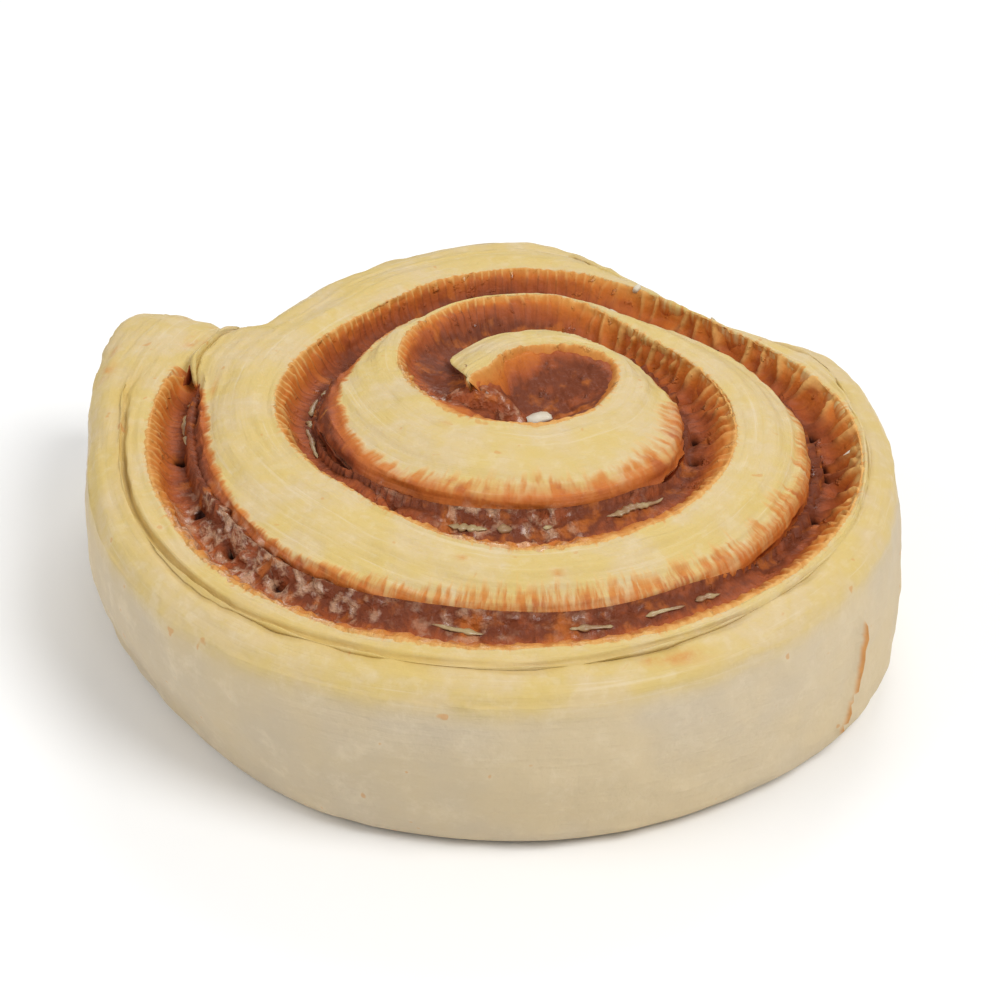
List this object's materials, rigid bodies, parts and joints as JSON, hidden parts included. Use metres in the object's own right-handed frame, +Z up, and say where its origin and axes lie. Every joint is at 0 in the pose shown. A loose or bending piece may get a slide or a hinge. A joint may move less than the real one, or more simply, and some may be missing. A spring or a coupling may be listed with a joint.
{
  "type": "cinnamon brioche",
  "caption": "Slice of rolled brioche dough with cinnamon paste between its turns, lying flat with its raised spiral cut face up.",
  "frame": {"origin": "the middle of the bounding box in plan, on the surface the roll stands on", "axes": "+Z up out of the spiral cut face, -Y towards the camera of the picture, +X to its right"},
  "size_m": [0.0982, 0.0972, 0.0297],
  "materials": {
    "dough": "soft satin, pale yellow raw dough with a dusting of flour",
    "cinnamon_paste": "moist red-brown paste with wet highlights"
  },
  "bodies": {
    "root": {"dough": "dough", "cinnamon_filling": "cinnamon_paste"}
  },
  "joints": []
}
